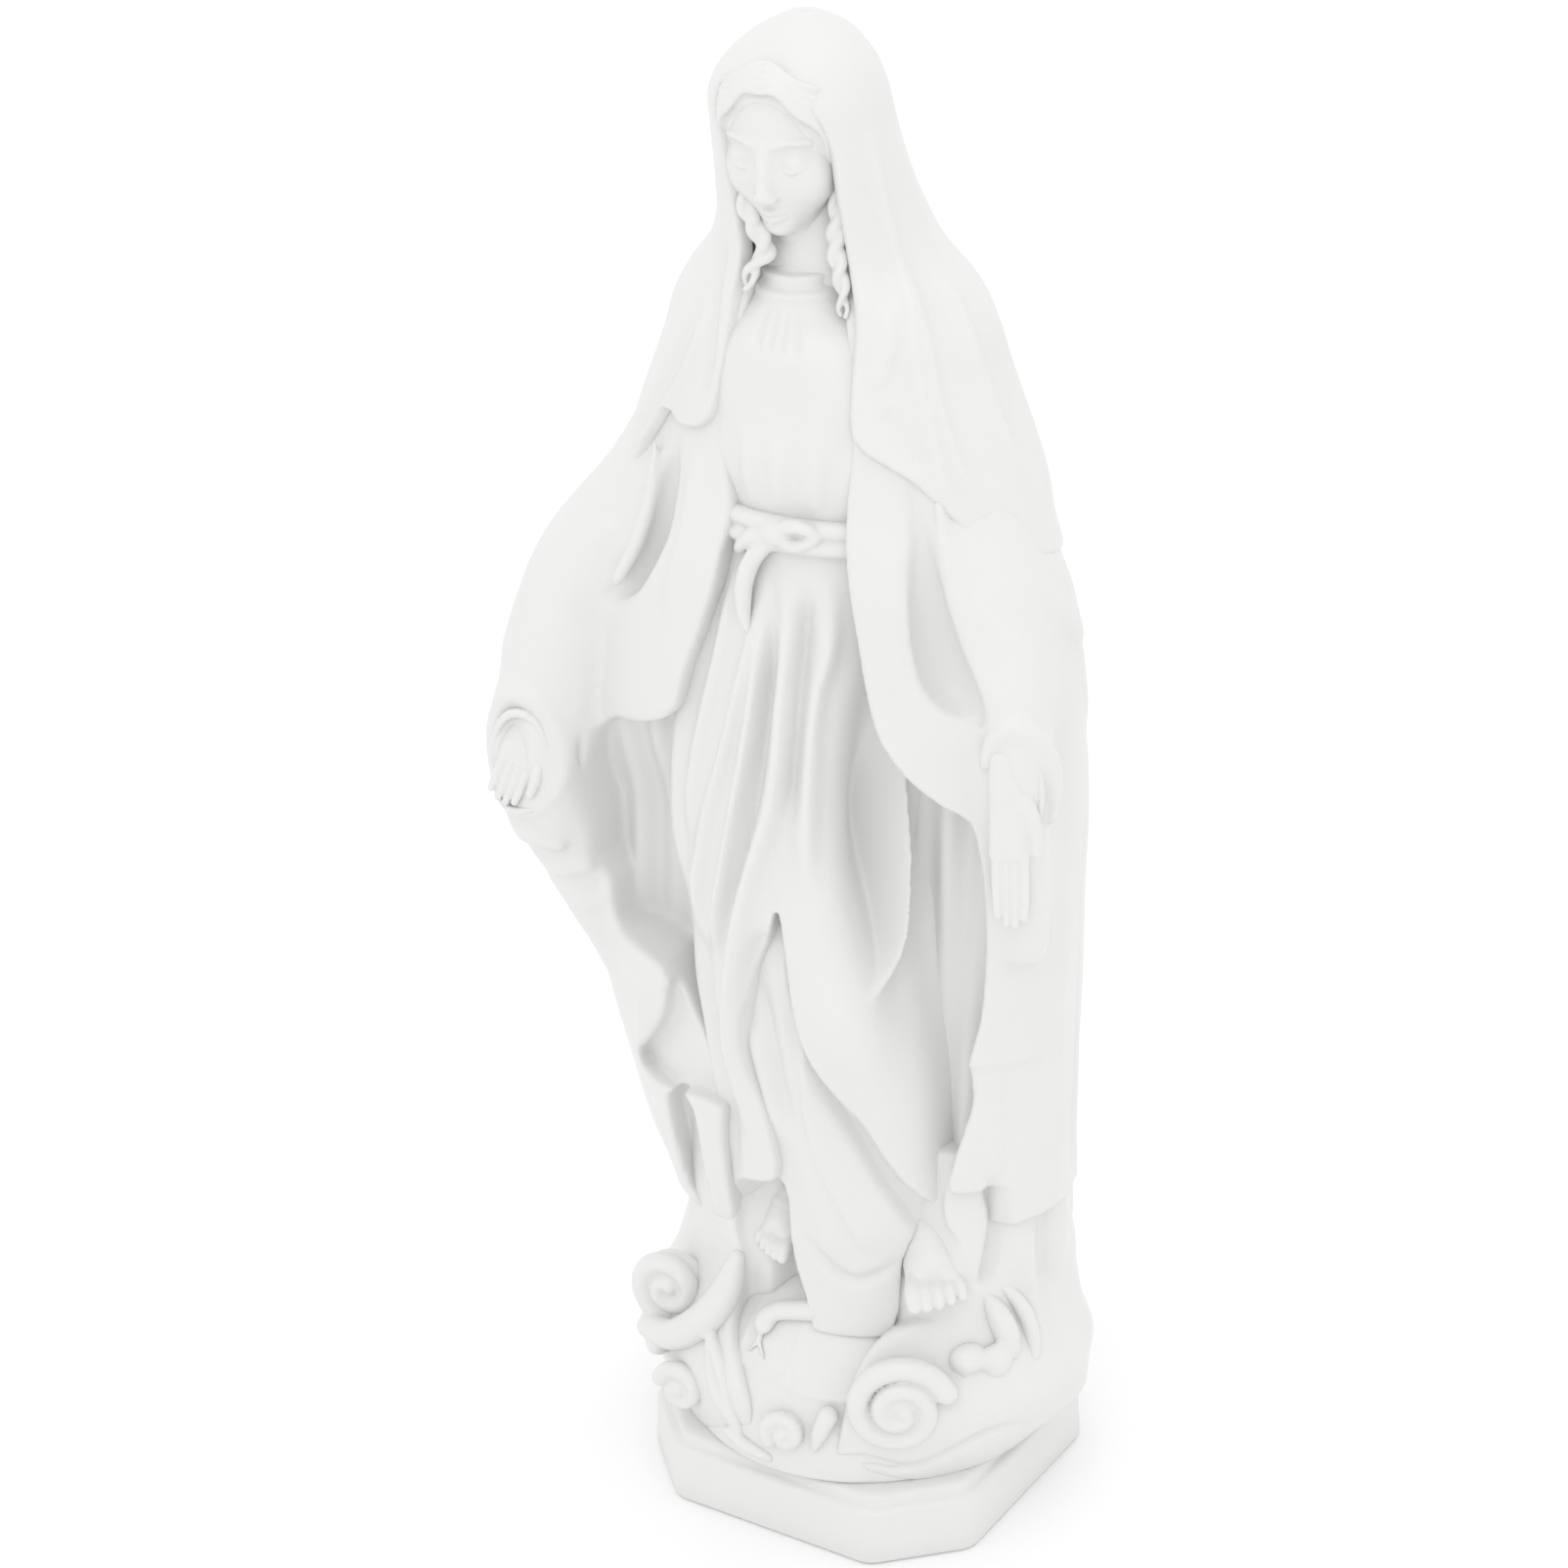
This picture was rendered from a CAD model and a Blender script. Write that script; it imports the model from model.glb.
from math import ceil, cos, floor, pi, radians, sin, sqrt, tan

import bpy
import numpy as np
import openvdb
from mathutils import Matrix


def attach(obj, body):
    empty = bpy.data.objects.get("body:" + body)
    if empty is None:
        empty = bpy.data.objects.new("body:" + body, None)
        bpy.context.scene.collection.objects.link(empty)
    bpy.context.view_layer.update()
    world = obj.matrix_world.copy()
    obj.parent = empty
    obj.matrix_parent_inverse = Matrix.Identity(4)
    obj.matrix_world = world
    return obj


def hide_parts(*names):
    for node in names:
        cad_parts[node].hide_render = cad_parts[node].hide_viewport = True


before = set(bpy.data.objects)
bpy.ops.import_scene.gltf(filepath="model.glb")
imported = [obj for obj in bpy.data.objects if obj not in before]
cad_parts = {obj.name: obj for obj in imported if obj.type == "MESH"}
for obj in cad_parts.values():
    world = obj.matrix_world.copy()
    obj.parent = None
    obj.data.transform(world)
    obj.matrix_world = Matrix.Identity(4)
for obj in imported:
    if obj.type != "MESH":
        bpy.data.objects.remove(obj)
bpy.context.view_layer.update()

# Everything is sculpted in millimetres on grids of signed distances, then meshed and scaled to metres.
# The figure faces -Y. Angles on cloth are degrees round its upright axis: 0 is the front, +90 faces +X.
MM = 0.001
COARSE = 1.0
FAR = 9.0  # signed distance of open space
CLOTH_STEP = 0.5  # millimetres or degrees between the samples of a cloth
SLANT = 0.92  # a slanted cloth is nearer than it is when measured on the level


def add_object(name, data):
    thing = bpy.data.objects.new(name, data)
    bpy.context.collection.objects.link(thing)
    return thing


def aim(right, up, back, at):
    """The placing of something that looks along minus its back direction."""
    return Matrix([[right[i], up[i], back[i], at[i]] for i in range(3)] + [[0, 0, 0, 1]])


# ---- curves and outlines ----
def spline(points, spacing=1.5, closed=False):
    """A smooth curve through points of any dimension, resampled about evenly."""
    p = np.array(points, float)
    n = len(p)
    out = []
    for i in range(n if closed else n - 1):
        if closed:
            a, b, c, d = (p[(i + k) % n] for k in (-1, 0, 1, 2))
        else:
            a, b, c, d = p[max(i - 1, 0)], p[i], p[i + 1], p[min(i + 2, n - 1)]
        count = max(2, int(np.linalg.norm(c - b) / spacing))
        t = (np.arange(count) / count)[:, None]
        square, cube = 2 * a - 5 * b + 4 * c - d, 3 * b - a - 3 * c + d
        out.append(0.5 * (2 * b + (c - a) * t + square * t**2 + cube * t**3))
    if not closed:
        out.append(p[-1:])
    return np.concatenate(out)


def smooth_steps(at, knots, values):
    """Values between knots with a smooth slope, for arrays of heights."""
    knots, values = np.array(knots, float), np.array(values, float)
    slope = np.gradient(values, knots)
    i = np.clip(np.searchsorted(knots, at) - 1, 0, len(knots) - 2)
    gap = knots[i + 1] - knots[i]
    t = np.clip((at - knots[i]) / gap, 0, 1)
    h00, h10 = 2 * t**3 - 3 * t**2 + 1, t**3 - 2 * t**2 + t
    h01, h11 = -2 * t**3 + 3 * t**2, t**3 - t**2
    return h00 * values[i] + h10 * gap * slope[i] + h01 * values[i + 1] + h11 * gap * slope[i + 1]


def ease(t):
    t = np.clip(t, 0, 1)
    return t * t * (3 - 2 * t)


def outline_distance(points, across, up, spacing=2.0):
    """Signed distance to a smooth closed outline, negative inside, for arrays of 2-D positions."""
    loop = spline(points, spacing, closed=True)
    nearest = np.full(across.shape, 1e9)
    inside = np.zeros(across.shape, bool)
    for (ax, ay), (bx, by) in zip(loop, np.roll(loop, -1, 0)):
        ex, ey = bx - ax, by - ay
        px, py = across - ax, up - ay
        t = np.clip((px * ex + py * ey) / max(ex * ex + ey * ey, 1e-9), 0, 1)
        nearest = np.minimum(nearest, (px - t * ex) ** 2 + (py - t * ey) ** 2)
        if ay != by:
            crosses = ((ay > up) != (by > up)) & (across < ex * (up - ay) / (by - ay) + ax)
            inside ^= crosses
    return np.where(inside, -1, 1) * np.sqrt(nearest)


def soft_min(a, b, width):
    if width <= 0:
        return np.minimum(a, b)
    h = np.clip(0.5 + 0.5 * (b - a) / width, 0, 1)
    return b + (a - b) * h - width * h * (1 - h)


def turn_matrix(degrees_xyz):
    """Rotation matrix for turns about X, then Y, then Z."""
    x, y, z = np.radians(degrees_xyz)
    rx = np.array([[1, 0, 0], [0, np.cos(x), -np.sin(x)], [0, np.sin(x), np.cos(x)]])
    ry = np.array([[np.cos(y), 0, np.sin(y)], [0, 1, 0], [-np.sin(y), 0, np.cos(y)]])
    rz = np.array([[np.cos(z), -np.sin(z), 0], [np.sin(z), np.cos(z), 0], [0, 0, 1]])
    return rz @ ry @ rx


# ---- cloth: a draped surface round an upright axis ----
class Cloth:
    """Level ellipses, each (height, middle x, middle y, half width, half depth), with relief on them."""

    def __init__(self, rows):
        rows = np.array(rows, float)
        self.heights = np.arange(rows[0, 0], rows[-1, 0] + CLOTH_STEP / 2, CLOTH_STEP)
        self.rings = [smooth_steps(self.heights, rows[:, 0], rows[:, i]) for i in (1, 2, 3, 4)]
        self.angles = np.arange(-180, 180 + CLOTH_STEP / 2, CLOTH_STEP)
        a = np.radians(self.angles)[None]
        half_width, half_depth = self.rings[2][:, None], self.rings[3][:, None]
        self.radius = 1 / np.sqrt((np.sin(a) / half_width) ** 2 + (np.cos(a) / half_depth) ** 2)
        self.per_degree = self.radius * pi / 180
        self.edge = np.full(self.radius.shape, -50.0)

    def _path(self, points, reach, fade):
        """For the part of the map near a path, once per turn: distance to it, strength along it and side."""
        path = spline(points, 3.0)
        for turn in (-360, 0, 360):
            p = path + (turn, 0)
            margin = (reach / 0.3, reach)
            (left, low), (right, high) = p.min(0) - margin, p.max(0) + margin
            cols = np.flatnonzero((self.angles > left) & (self.angles < right))
            rows = np.flatnonzero((self.heights > low) & (self.heights < high))
            if not len(cols) or not len(rows):
                continue
            part = np.s_[rows[0]:rows[-1] + 1, cols[0]:cols[-1] + 1]
            across, up = self.angles[None, part[1]], self.heights[part[0], None]
            scale = self.per_degree[part]
            best = np.full(scale.shape, 1e9)
            along, side = np.zeros(scale.shape), np.ones(scale.shape)
            for i in range(len(p) - 1):
                ex, ey = (p[i + 1, 0] - p[i, 0]) * scale, p[i + 1, 1] - p[i, 1]
                px, py = (across - p[i, 0]) * scale, up - p[i, 1]
                t = np.clip((px * ex + py * ey) / (ex * ex + ey * ey + 1e-9), 0, 1)
                d = (px - t * ex) ** 2 + (py - t * ey) ** 2
                near = d < best
                best = np.where(near, d, best)
                along = np.where(near, (i + t) / (len(p) - 1), along)
                side = np.where(near, np.sign(ex * py - ey * px), side)
            yield part, np.sqrt(best), ease(along / fade) * ease((1 - along) / fade), side

    def fold(self, points, height, width, fade=0.25):
        """A rounded ridge, or a groove where height is negative, that fades in and out at its ends."""
        for part, d, strength, _ in self._path(points, 3.2 * width, fade):
            self.radius[part] += height * strength * np.exp(-((d / width) ** 2))

    def lap(self, points, height, width, fade=0.15):
        """A cloth edge: the surface steps up on the left of the path and settles back over the width."""
        for part, d, strength, side in self._path(points, 3.5 * width, fade):
            step = 0.5 + 0.5 * np.tanh(side * d / 0.45)
            self.radius[part] += height * strength * step * np.exp(-np.maximum(side * d, 0) / width)

    def bulge(self, angle, height, tall, wide, rise):
        """A soft swelling or hollow."""
        across = (self.angles[None] - angle + 180) % 360 - 180
        d = (across * self.per_degree / wide) ** 2 + ((self.heights[:, None] - height) / tall) ** 2
        self.radius += rise * np.exp(-d)

    def pleats(self, first, last, count, low, high, rise, lean=0.0):
        """Long upright folds side by side, each a little different."""
        for i in range(count):
            angle = first + (last - first) * i / max(count - 1, 1)
            sway = 2.5 * sin(1.7 * i)
            top, bottom = high - 6 * (i % 3), low + 5 * ((i + 1) % 2)
            middle = (top + bottom) / 2
            points = [(angle - lean, top), (angle + sway, middle), (angle + lean, bottom)]
            self.fold(points, rise * (0.8 + 0.3 * sin(2.3 * i)), 3.2, 0.4)

    def trim(self, points):
        """Cuts away what lies inside an outline of (angle, height) points."""
        scale = self.per_degree.mean()
        across, up = np.meshgrid(self.angles * scale, self.heights)
        scaled = [(a * scale, z) for a, z in points]
        self.edge = np.maximum(self.edge, -outline_distance(scaled, across, up, 3.0))


# ---- clay: a block of signed distances ----
class Clay:
    """Signed distances on a cubic grid, negative inside the clay."""

    def __init__(self, low, high, step):
        self.step = step * COARSE
        self.low = np.array(low, float)
        self.size = np.ceil((np.array(high, float) - self.low) / self.step).astype(int) + 1
        self.axes = [self.low[i] + self.step * np.arange(self.size[i]) for i in range(3)]
        self.d = np.full(self.size, FAR, np.float32)

    def window(self, low, high):
        """The part of the grid that covers a box, with its coordinates."""
        cuts = []
        for i in range(3):
            first = int(np.clip(floor((low[i] - self.low[i]) / self.step), 0, self.size[i]))
            last = int(np.clip(ceil((high[i] - self.low[i]) / self.step) + 1, first, self.size[i]))
            cuts.append(slice(first, last))
        x, y, z = (self.axes[i][cuts[i]] for i in range(3))
        return tuple(cuts), x[:, None, None], y[None, :, None], z[None, None, :]

    def merge(self, cuts, field, blend, cut):
        """Adds a field to a part of the clay or, for a cut, takes it away."""
        old = self.d[cuts]
        self.d[cuts] = -soft_min(-old, field, blend) if cut else soft_min(old, field, blend)

    def blob(self, centre, radii, turn=(0, 0, 0), blend=0.0, cut=False):
        """An ellipsoid, turned by degrees about X, Y and Z."""
        centre, radii = np.array(centre, float), np.array(radii, float)
        reach = radii.max() + 2 * blend + 2 * self.step
        cuts, x, y, z = self.window(centre - reach, centre + reach)
        m = turn_matrix(turn).T
        rel = (x - centre[0], y - centre[1], z - centre[2])
        local = [(m[i, 0] * rel[0] + m[i, 1] * rel[1] + m[i, 2] * rel[2]) / radii[i] for i in range(3)]
        k0 = np.sqrt(sum(q * q for q in local)) + 1e-6
        k1 = np.sqrt(sum((q / r) ** 2 for q, r in zip(local, radii))) + 1e-6
        self.merge(cuts, (k0 * (k0 - 1) / k1).astype(np.float32), blend, cut)

    def limb(self, points, blend=0.0, cut=False, spacing=1.5):
        """A smooth tube through points (x, y, z, radius)."""
        p = spline(points, spacing)
        reach = p[:, 3].max() + 2 * blend + 2 * self.step
        cuts, x, y, z = self.window(p[:, :3].min(0) - reach, p[:, :3].max(0) + reach)
        field = np.full([c.stop - c.start for c in cuts], FAR, np.float32)
        low = [self.axes[i][cuts[i].start] if cuts[i].stop > cuts[i].start else 0 for i in range(3)]
        for a, b in zip(p[:-1], p[1:]):
            near = []
            for i in range(3):
                lo, hi = min(a[i], b[i]) - reach, max(a[i], b[i]) + reach
                first = int(np.clip((lo - low[i]) / self.step, 0, field.shape[i]))
                last = int(np.clip((hi - low[i]) / self.step + 2, first, field.shape[i]))
                near.append(slice(first, last))
            px, py, pz = x[near[0]] - a[0], y[:, near[1]] - a[1], z[:, :, near[2]] - a[2]
            e = b[:3] - a[:3]
            t = np.clip((px * e[0] + py * e[1] + pz * e[2]) / max(e @ e, 1e-9), 0, 1)
            d = np.sqrt((px - t * e[0]) ** 2 + (py - t * e[1]) ** 2 + (pz - t * e[2]) ** 2)
            d -= a[3] + (b[3] - a[3]) * t
            here = tuple(near)
            field[here] = np.minimum(field[here], d)
        self.merge(cuts, field, blend, cut)

    def drape(self, cloth, wall=None):
        """The inside of a cloth surface, or only a wall of it with that thickness."""
        cuts, x, y, z = self.window(
            [self.axes[0][0], self.axes[1][0], cloth.heights[0] - 2],
            [self.axes[0][-1], self.axes[1][-1], cloth.heights[-1] + 2],
        )
        x, y, z = x[:, :, 0], y[:, :, 0], z[0, 0]
        field = np.empty([c.stop - c.start for c in cuts], np.float32)
        for k, level in enumerate(z):
            row = float(np.clip((level - cloth.heights[0]) / CLOTH_STEP, 0, len(cloth.heights) - 1.001))
            i, f = int(row), row - int(row)
            mid_x, mid_y = (ring[i] * (1 - f) + ring[i + 1] * f for ring in cloth.rings[:2])
            radius = cloth.radius[i] * (1 - f) + cloth.radius[i + 1] * f
            edge = cloth.edge[i] * (1 - f) + cloth.edge[i + 1] * f
            dx, dy = x - mid_x, y - mid_y
            angle = np.degrees(np.arctan2(dx, -dy))
            rho = np.hypot(dx, dy)
            d = (rho - np.interp(angle, cloth.angles, radius)) * SLANT
            if wall:
                d = np.maximum(d, -d - wall)
            d = np.maximum(d, np.interp(angle, cloth.angles, edge))
            field[:, :, k] = np.maximum(d, max(cloth.heights[0] - level, level - cloth.heights[-1]))
        self.merge(cuts, field, 0, False)

    def carve_front(self, outline, back, blend=1.0):
        """Cuts a front-view outline of (x, z) points back to a depth given as a function of x and z."""
        x, z = self.axes[0][:, None], self.axes[2][None]
        plan = outline_distance(outline, *np.broadcast_arrays(x, z))
        depth = self.axes[1][None, :, None] - back(x, z)[:, None, :]
        field = -soft_min(-plan[:, None, :], -depth, 1.5)
        self.d = -soft_min(-self.d, field.astype(np.float32), blend)

    def keep(self, distance):
        """Keeps only what lies where a function of x, y and z is negative."""
        x, y, z = self.axes[0][:, None, None], self.axes[1][None, :, None], self.axes[2][None, None]
        self.d = np.maximum(self.d, distance(x, y, z).astype(np.float32))

    def soften(self):
        """Rounds creases, like the skin of a casting."""
        for axis in range(3):
            d = np.moveaxis(self.d, axis, 0)
            d[1:-1] = 0.25 * d[:-2] + 0.5 * d[1:-1] + 0.25 * d[2:]

    def mesh(self, name):
        """A new object with the clay's softened surface."""
        self.soften()
        grid = openvdb.FloatGrid(FAR)
        grid.copyFromArray(self.d)
        points, quads = grid.convertToQuads()
        vertices = (np.asarray(points) * self.step + self.low) * MM
        data = bpy.data.meshes.new(name)
        data.vertices.add(len(vertices))
        data.vertices.foreach_set("co", vertices.astype(np.float32).ravel())
        data.loops.add(4 * len(quads))
        data.loops.foreach_set("vertex_index", np.asarray(quads)[:, ::-1].astype(np.int32).ravel())
        data.polygons.add(len(quads))
        data.polygons.foreach_set("loop_start", np.arange(0, 4 * len(quads), 4, dtype=np.int32))
        data.update(calc_edges=True)
        data.validate()
        data.shade_smooth()
        return add_object(name, data)


# ---- base forms of the clothes ----
MANTLE = [
    (50, 1, 3, 41.5, 28), (57, 0.2, 3, 43.3, 28.6), (78, -3.4, 3, 46.8, 31), (101, -6.7, 3, 50.4, 33),
    (130, -6, 0, 51.9, 32.5), (150, -4, -2, 51.8, 31.5), (170, -3, -3, 50.6, 30), (189, -2.5, -3.5, 48.5, 28),
    (200, -1.8, -4, 46.5, 26.5), (208, -1.4, -4, 43, 25), (225, -1, -5, 36, 21.5), (240, -1, -6, 29.5, 18.5),
    (249, -1, -8, 22, 15), (256, -1, -10, 13, 11),
]
GOWN = [
    (60, 2, -9, 24, 20), (92, 2, -11, 25, 20.5), (120, 1, -12, 27, 22), (150, -2, -11, 28.5, 22),
    (170, -2, -10.5, 28, 21), (192, -1, -9.5, 25, 19), (208, 0, -8.5, 22, 17.4),
    (224, 0, -8.5, 23.5, 18.8), (236, 0, -8.5, 22.5, 17.6), (245, -0.5, -9.5, 19, 15.5),
    (251, -1, -11.3, 10.8, 10), (255, -1, -12, 7.8, 7.8),
]
UNDERSKIRT = [
    (43, 3, -7, 22.5, 20.5), (52, 3, -7, 22, 20), (63, 3, -8, 22, 19.5), (92, 2, -10, 23, 19.2),
    (108, 1.5, -11, 24, 20), (122, 1, -11, 22, 19.5), (134, 0, -11, 18, 17),
]
VEIL = [
    (194, -1.5, -3, 47, 28), (205, -1.6, -3.5, 45.2, 27), (213, -1.4, -4, 42.8, 26),
    (226, -1.2, -4, 38.4, 24.2), (240, -1, -4, 33, 22), (246, -1, -4, 31, 21.3),
    (252.5, -1, -4.3, 27, 20), (258, -1, -5, 22.3, 18), (264, -1, -6.5, 19.3, 17.5),
    (270, -1.2, -8.5, 17.8, 17), (276, -1.5, -10, 16.9, 16.4), (282, -2, -11, 16.3, 16),
    (288, -2.5, -11.3, 15.4, 15.4), (294, -2.3, -10.5, 11.8, 11.8), (298, -2, -9.5, 6.8, 6.8),
    (300, -2, -9.5, 2.6, 2.5),
]


# ---- gown and underskirt ----
def make_gown():
    cloth = Cloth(GOWN)
    # neck pleats
    for angle in (-14, -3, 8, 19):
        cloth.fold([(angle, 251), (angle * 0.8 + 1, 242)], -1.0, 0.7, 0.3)
    # gathers above and below the waist
    for angle, height in ((-34, 1.0), (-14, 1.1), (4, 1.2), (24, 1.1), (42, 0.9)):
        cloth.fold([(angle * 1.1, 230), (angle, 213)], height, 1.9, 0.45)
    # skirt folds that fall from the knot and sweep to the right side
    cloth.fold([(3, 204), (11, 199), (14, 183), (11, 160), (-9, 135), (-24, 112), (-30, 90)], 4.0, 1.9)
    cloth.fold([(-7, 203), (-1, 193), (-3, 171), (-16, 144), (-36, 122)], 3.0, 1.6)
    cloth.fold([(-3, 203), (3, 192), (1, 171), (-12, 146), (-30, 122)], -1.8, 0.9)
    cloth.fold([(-6, 200), (-14, 175), (-34, 146), (-48, 122)], 2.4, 1.4)
    cloth.fold([(-26, 205), (-28, 185), (-38, 162), (-46, 145)], 1.6, 1.5)
    cloth.fold([(-47, 206), (-48, 189), (-54, 160), (-60, 130)], 1.6, 2.2)
    cloth.fold([(32, 205), (35, 191), (29, 180), (27, 160), (26, 140)], 2.4, 2.2)
    cloth.fold([(7, 196), (6, 175), (-4, 150), (-20, 130)], -2.4, 1.1)
    cloth.fold([(23, 202), (23, 180), (19, 155)], -2.4, 1.3)
    cloth.fold([(-12, 192), (-22, 165), (-40, 138)], -1.0, 1.0)
    # lower left panel, down to its short hem
    cloth.fold([(3, 134), (-8, 126), (-18, 114)], -1.6, 1.2)
    cloth.fold([(-34, 125), (-30, 104), (-22, 80)], 1.6, 2.4, 0.3)
    cloth.fold([(-46, 130), (-44, 100), (-46, 70)], -1.4, 2.2, 0.3)
    cloth.fold([(-58, 128), (-56, 100), (-58, 70)], 1.4, 2.6, 0.3)
    # knee, the hollow beside it and the thin fold that hangs from the mantle
    cloth.bulge(36, 114, 19, 9, 4.5)
    cloth.bulge(64, 152, 28, 8, -15)
    cloth.bulge(88, 140, 34, 8, -7)
    cloth.fold([(80, 172), (79, 158), (77, 147), (74, 138), (67, 130), (57, 124), (46, 121)], 9.0, 1.4, 0.4)
    cloth.pleats(100, 260, 8, 75, 180, 1.5)
    cloth.trim([
        (10, 138), (4, 133), (-8, 125), (-17, 116), (-22, 108), (-22, 100), (-16, 93), (-12, 85),
        (-11, 77), (-28, 74), (-48, 70), (-60, 60), (-60, 40), (40, 40), (110, 40), (110, 62), (95, 66),
        (77, 72), (63, 78), (50, 87), (42, 94), (29, 102), (18, 110), (13, 120),
    ])
    clay = Clay((-36, -42, 58), (36, 18, 259), 0.5)
    clay.drape(cloth)
    for x in (-8, 7):
        clay.blob((x, -19, 234), (7.5, 4.5, 8), blend=5)
    clay.limb([(-1, -12, 250, 7.4), (-1, -12, 254.5, 6.8)], blend=1.5)
    for reach, height, thick in ((8.9, 252.3, 0.9), (7.6, 255.2, 0.8)):
        collar = []
        for t in np.linspace(-3.1, 3.1, 21):
            dip = 1.2 - 1.4 * cos(t)
            collar.append((-1 + reach * sin(t), -12 - reach * cos(t), height + dip, thick))
        clay.limb(collar, blend=0.5)
    return clay.mesh("gown")


def make_underskirt():
    cloth = Cloth(UNDERSKIRT)
    cloth.lap([(3, 132), (6, 119), (11, 106), (9, 91), (19, 78), (30, 68), (39, 61)], 1.3, 3.5, 0.1)
    cloth.fold([(12, 130), (16, 112), (27, 99), (41, 89), (56, 77), (76, 64)], -2.6, 2.4, 0.15)
    cloth.fold([(-10, 122), (-6, 104), (-2, 88)], -1.3, 1.6, 0.3)
    cloth.fold([(-20, 112), (-14, 98), (-10, 84)], 1.4, 2.0, 0.3)
    cloth.fold([(2, 92), (10, 76), (22, 58)], 1.0, 3.0, 0.3)
    cloth.bulge(8, 127, 11, 7, 3.0)
    cloth.bulge(60, 134, 26, 11, -13)
    cloth.bulge(84, 120, 22, 10, -8)
    cloth.fold([(-1, 66), (13, 60), (29, 56), (46, 58), (57, 62)], -1.3, 1.2, 0.3)
    cloth.pleats(100, 260, 8, 48, 100, 1.2)
    # the arch over the left foot and the recess for the right foot
    cloth.trim([(50, 38), (53, 49), (57, 60), (67, 66), (79, 67), (90, 63), (98, 52), (102, 38)])
    cloth.trim([(-12, 75), (-10, 64), (-7, 56), (1, 47), (-4, 38), (-100, 38), (-100, 60), (-80, 74),
                (-40, 77)])
    clay = Clay((-30, -38, 41), (32, 18, 136), 0.5)
    clay.drape(cloth)
    return clay.mesh("underskirt")


# ---- mantle ----
MANTLE_OPENING = [
    (0, 266), (-7, 254), (-9, 240), (-10, 230), (-10, 220), (-8.5, 213), (-10, 206), (-11.5, 198),
    (-15, 188), (-18, 180), (-20.5, 172), (-25, 168.5), (-31, 166), (-38, 164), (-43.5, 159), (-46, 150),
    (-45.5, 140), (-45.5, 132), (-42.5, 128), (-41, 119), (-35, 117), (-28, 115.5), (-25, 111),
    (-22, 105), (-18, 97), (-14.5, 89), (-15.5, 80), (-15.5, 64), (-14, 50), (0, 40), (20, 46), (27, 60),
    (40.5, 60), (40, 70), (38.5, 76.5), (30, 77), (30.5, 84), (33.5, 97), (33.5, 106), (35.5, 116),
    (37, 128), (37.8, 140), (37.8, 150), (36.5, 158.5), (33, 161.5), (28, 166), (24, 171), (21, 177),
    (19, 185), (17, 196), (14.5, 208), (14, 217), (14, 230), (12, 245), (8, 258),
]
DRAPE_FACET = [(-26, 112), (-22, 106), (-17, 97), (-13, 88.5), (-20, 88.5), (-30, 86), (-39, 85.5),
               (-40, 89), (-33, 97), (-28, 105)]
DRAPE_SLOT = [(-30.5, 84), (-24, 86), (-22.5, 80), (-22.5, 72), (-22, 60), (-29, 60), (-31, 70)]


def mantle_back(x, z):
    """The lining behind the gown: upright folds, shallower under the sleeve hems."""
    folds = 0.9 * np.sin(x * 0.55 + 0.02 * z) + 0.6 * np.sin(x * 0.95 - 0.05 * z)
    lining = -13 + 3 * ease((x - 5) / 25)
    under_sleeve = -6 * ease((z - 140) / 24) * ease((-x - 6) / 10)
    return lining + under_sleeve + folds


def shallow(depth):
    """A cut of even depth below the draped front of the mantle."""
    def back(x, z):
        rows = np.array(MANTLE)
        mid_x, mid_y, wide, deep = (np.interp(z, rows[:, 0], rows[:, i]) for i in (1, 2, 3, 4))
        return mid_y - deep * np.sqrt(np.clip(1 - ((x - mid_x) / wide) ** 2, 0, 1)) + depth
    return back


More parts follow.
